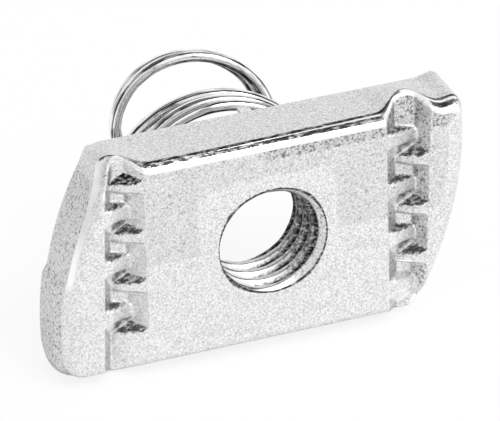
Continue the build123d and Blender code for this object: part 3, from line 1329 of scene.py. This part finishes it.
            # painted shade on the outer walls, darker at the left end
            dark = np.maximum(upper * max(1 - share / self.edge_shade_reach, 0.0) ** 0.5,
                              self.rim_wall_shade + self.left_end_wall_shade * left_end)
            rings.append(skin.add(np.stack([x + along, level, z + across], axis=-1), 0.0, dark))
        x, z = x + along, z + across
        normal = np.stack([np.roll(z, -1) - np.roll(z, 1), np.roll(x, 1) - np.roll(x, -1)], axis=-1)
        normal /= np.maximum(np.linalg.norm(normal, axis=1, keepdims=True), 1e-9)
        normal *= np.sign((normal[:, 0] * x + normal[:, 1] * z).sum())
        turns = [math.radians(turn) for turn in (22.5, 45.0, 67.5, 90.0)]
        edge = [(self.back_edge * (1 - math.cos(turn)), stop + self.back_edge * math.sin(turn))
                for turn in turns]
        for inward, level in edge + [(self.back_edge + self.back_margin, self.thickness)]:
            rings.append(skin.add(np.stack([x - normal[:, 0] * inward, np.full_like(x, level),
                                            z - normal[:, 1] * inward], axis=-1)))
        skin.weave(np.array(rings), around=True)
        return rings[-1]

    def back(self, skin: Skin, outline: Array, rim: Array) -> None:
        """Closes the flat back.

        Args:
            skin: the mesh that grows.
            outline: numbers of the points round it.
            rim: numbers of the points round the hole.
        """
        places = np.concatenate(skin.points)
        angle = np.arctan2(places[rim, 2], places[rim, 0])
        ring = skin.add(circle(self.thread.rim / 2 + self.back_margin, angle, self.thickness))
        skin.weave(np.array([rim, ring]), around=True)
        angle = np.arctan2(places[outline, 2], places[outline, 0])
        middle = skin.add(circle(self.back_ring, angle, self.thickness))
        skin.weave(np.array([outline, middle]), around=True)
        skin.cap(middle, ring)

    def build(self) -> bpy.types.Object:
        """Builds the whole plate as one piece."""
        skin = Skin()
        outline, shift, rim = self.front(skin)
        self.back(skin, self.walls(skin, outline, shift), rim)
        piece = skin.build("pressed_plate")
        piece.data.materials.append(PlatedSteel().material())
        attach(piece, "root")
        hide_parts(Node.PLATE.value)
        return piece

    def lug(self, up: int) -> bpy.types.Object:
        """One of the two staked lugs that keep the spring's first turn in place."""
        skin = Skin()
        half, root = self.lug_width / 2, self.thickness - 0.3
        rings = []
        for level, spread, lean in ((root, 0.03, 0.0), (self.thickness + 0.1, 0.03, 0.0),
                                    (self.thickness + 0.35, 0.0, 0.3),
                                    (self.thickness + self.lug_height - 0.12, -0.02, 0.9),
                                    (self.thickness + self.lug_height, -0.09, 1.0)):
            low = self.lug_inner - self.lug_lean * lean - min(spread, 0.0)
            high = self.lug_outer - self.lug_lean * lean + min(spread, 0.0)
            wide, middle = half + spread, up * self.lug_offset
            corners = [(-wide, low), (0.0, low), (wide, low), (wide, (low + high) / 2), (wide, high),
                       (0.0, high), (-wide, high), (-wide, (low + high) / 2)]
            rings.append(skin.add(np.array([(middle + x, level, up * z) for x, z in corners])))
        skin.weave(np.array(rings), around=True)
        skin.close(rings[0], rings[-1])
        name = "staked_lug_top" if up > 0 else "staked_lug_bottom"
        piece = skin.build(name)
        piece.data.materials.append(bpy.data.materials["zinc_plated_steel"])
        bevel = piece.modifiers.new("worn_edges", "BEVEL")
        bevel.width = self.lug_bevel * MM
        bevel.segments = 3
        bevel.limit_method = "ANGLE"
        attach(piece, "root")
        return piece


@dataclass
class CoilSpring:
    """The wound wire: closed turns on the plate, one open turn, and closed turns at the end."""

    wire: float = 1.0
    radius: float = 8.0
    closed_pitch: float = 1.08
    base_turns: float = 2.52
    open_turns: float = 0.68
    end_turns: float = 1.7
    lean: float = 0.205
    contact: float = -48.0
    start: float = -125.0
    clearance: float = 0.02
    end_level: float = 13.3
    end_radius: float = 6.7
    end_tightening: float = 0.43
    end_pitch: float = 1.3
    end_offset: Tuple[float, float] = (0.9, 1.05)
    end_slope: Tuple[float, float] = (-0.17, 0.085)
    plate: float = 6.0
    points_per_turn: int = 96
    points_round: int = 26

    def path(self) -> Array:
        """Middle of the wire, point by point: the closed turns on the plate pass over into the
        turns of the free end, which have their own middle, radius, slope and pitch."""
        total = self.base_turns + self.open_turns + self.end_turns
        turns = np.linspace(0, total, round(total * self.points_per_turn) + 1)
        angle = np.radians(self.start + 360 * turns)
        past_end_start = turns - self.base_turns - self.open_turns
        share = np.clip((turns - self.base_turns) / self.open_turns, 0, 1)
        climbed = share - np.sin(2 * np.pi * share) / (2 * np.pi)
        end_radius = self.end_radius - self.end_tightening * past_end_start
        radius = self.radius + (end_radius - self.radius) * climbed
        along, up = radius * np.cos(angle), radius * np.sin(angle)
        touch = (self.contact - self.start) / 360
        lift = self.lean * self.radius * (1 - np.cos(angle - math.radians(self.contact)))
        base_height = self.wire / 2 + self.clearance + self.closed_pitch * (turns - touch) + lift
        end_height = (self.end_level + self.end_pitch * past_end_start
                      + self.end_slope[0] * along + self.end_slope[1] * up)
        height = base_height + (end_height - base_height) * climbed
        return np.stack([along + self.end_offset[0] * climbed, self.plate + height,
                         up + self.end_offset[1] * climbed], axis=-1)

    def build(self) -> bpy.types.Object:
        """Sweeps the round wire along its path."""
        path = self.path()
        tangent = np.gradient(path, axis=0)
        tangent /= np.linalg.norm(tangent, axis=1, keepdims=True)
        length = np.concatenate([[0], np.cumsum(np.linalg.norm(np.diff(path, axis=0), axis=1))])
        outward = path * (1, 0, 1)
        outward -= (outward * tangent).sum(axis=1, keepdims=True) * tangent
        outward /= np.linalg.norm(outward, axis=1, keepdims=True)
        across = np.cross(tangent, outward)
        skin = Skin()
        around = np.linspace(0, 2 * math.pi, self.points_round, endpoint=False)
        rings = []
        stations = [(0, -0.05, 0.72), (0, -0.035, 0.9)]
        stations += [(i, 0.0, 1.0) for i in range(len(path))]
        stations += [(len(path) - 1, 0.035, 0.9), (len(path) - 1, 0.05, 0.72)]
        drawn = []
        for index, shift, share in stations:
            radius = self.wire / 2 * share
            middle = path[index] + tangent[index] * shift
            ring = middle + radius * (np.outer(np.cos(around), outward[index])
                                      + np.outer(np.sin(around), across[index]))
            rings.append(skin.add(ring))
            drawn.append(np.stack([np.full(len(around), length[index]), np.cos(around) * self.wire / 2,
                                   np.sin(around) * self.wire / 2], axis=-1))
        skin.weave(np.array(rings), around=True)
        skin.close(rings[0], rings[-1])
        piece = skin.build("wound_wire")
        layer = piece.data.attributes.new("drawn", "FLOAT_VECTOR", "POINT")
        layer.data.foreach_set("vector", np.concatenate(drawn).astype(np.float32).reshape(-1))
        piece.data.materials.append(DrawnWire().material())
        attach(piece, "root")
        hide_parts(Node.SPRING.value)
        return piece


@dataclass
class Studio:
    """Floor, lamps, surroundings and camera."""

    azimuth: float = -20.57
    elevation: float = 27.94
    roll: float = -1.78
    distance_mm: float = 400.0
    aim_mm: Tuple[float, float, float] = (-0.93, 1.68, 2.35)
    lens: float = 353.96
    sensor: float = 36.0
    floor_size_mm: float = 6000.0
    key_mm: Corner = (160.0, -320.0, 420.0)
    key_size_mm: float = 260.0
    key_watts: float = 1.2
    strip_dark: float = 0.92
    side_dark: float = 0.4

    def camera(self) -> bpy.types.Object:
        """Places the camera."""
        turn, rise = math.radians(self.azimuth), math.radians(self.elevation)
        back = Vector((math.sin(turn) * math.cos(rise), -math.cos(turn) * math.cos(rise), math.sin(rise)))
        data = bpy.data.cameras.new("camera")
        data.lens = self.lens
        data.sensor_width = self.sensor
        data.clip_start, data.clip_end = 0.01, 50.0
        camera = bpy.data.objects.new("camera", data)
        facing = (-back).to_track_quat("-Z", "Y").to_matrix()
        facing = facing @ Matrix.Rotation(math.radians(self.roll), 3, "Z")
        camera.matrix_world = Matrix.LocRotScale(
            (Vector(self.aim_mm) + back * self.distance_mm) * MM, facing, None)
        bpy.context.scene.collection.objects.link(camera)
        bpy.context.scene.camera = camera
        return camera

    def floor(self, level: float) -> bpy.types.Object:
        """Lays the floor under the lowest point."""
        half = self.floor_size_mm * MM / 2
        mesh = bpy.data.meshes.new("floor")
        corners = [(-half, -half, level), (half, -half, level), (half, half, level), (-half, half, level)]
        mesh.from_pydata(corners, [], [(0, 1, 2, 3)])
        floor = bpy.data.objects.new("floor", mesh)
        mesh.materials.append(PaleFloor().material())
        bpy.context.scene.collection.objects.link(floor)
        floor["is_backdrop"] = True
        return floor

    def lamp(self, name: str, place: Corner, size_mm: float, watts: float) -> bpy.types.Object:
        """Hangs one soft square lamp that faces the part.

        Args:
            name: its name.
            place: where it hangs, in millimetres.
            size_mm: length of its side.
            watts: its power.

        Returns:
            The lamp.
        """
        data = bpy.data.lights.new(name, "AREA")
        data.shape = "SQUARE"
        data.size = size_mm * MM
        data.energy = watts
        lamp = bpy.data.objects.new(name, data)
        where = Vector(place) * MM
        lamp.matrix_world = Matrix.LocRotScale(where, (-where).to_track_quat("-Z", "Y"), None)
        bpy.context.scene.collection.objects.link(lamp)
        return lamp

    def surroundings(self) -> None:
        """A white room, darker in a strip high behind the part and low at its left."""
        world = bpy.data.worlds.new("studio")
        bpy.context.scene.world = world
        world.use_nodes = True
        shader = ShaderTree(world.node_tree)
        direction = shader.node("ShaderNodeTexCoord").outputs["Generated"]
        parts = shader.node("ShaderNodeSeparateXYZ", None, {0: direction})
        x, y, z = (shader.signal(parts, i) for i in range(3))
        high_behind = y.rise(0.1, 0.25) * (1 - y.rise(0.62, 0.72)) * z.rise(0.5, 0.65)
        high_behind = high_behind * (1 - x.rise(0.02, 0.18))
        left_low = (0.0 - x).rise(0.2, 0.9) * (1 - z.rise(0.0, 0.5))
        level = 1.0 - self.strip_dark * high_behind - self.side_dark * left_low
        ray = shader.node("ShaderNodeLightPath")
        seen = shader.signal(ray, "Is Camera Ray")
        colour = shader.mix(seen, shader.node("ShaderNodeCombineColor", None, {
            0: level, 1: level, 2: level}).outputs[0], grey(1.0))
        glow = shader.node("ShaderNodeBackground", None, {"Color": colour, "Strength": 1.0})
        shader.node("ShaderNodeOutputWorld", None, {"Surface": glow.outputs[0]})

    def build(self) -> None:
        """Sets up everything round the part."""
        low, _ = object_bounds()
        self.camera()
        self.floor(low.z)
        self.surroundings()
        self.lamp("key", self.key_mm, self.key_size_mm, self.key_watts)
        bpy.context.scene.view_settings.view_transform = "Standard"


def main() -> None:
    """Builds the dressed part and its studio, in order."""
    logging.basicConfig(level=logging.INFO, format="%(message)s")
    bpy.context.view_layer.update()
    Studio().build()
    plate = NutPlate()
    for piece in (plate.build(), plate.lug(1), plate.lug(-1), CoilSpring().build()):
        LOG.info("%s: %d faces", piece.name, len(piece.data.polygons))


if __name__ == "__main__":
    main()
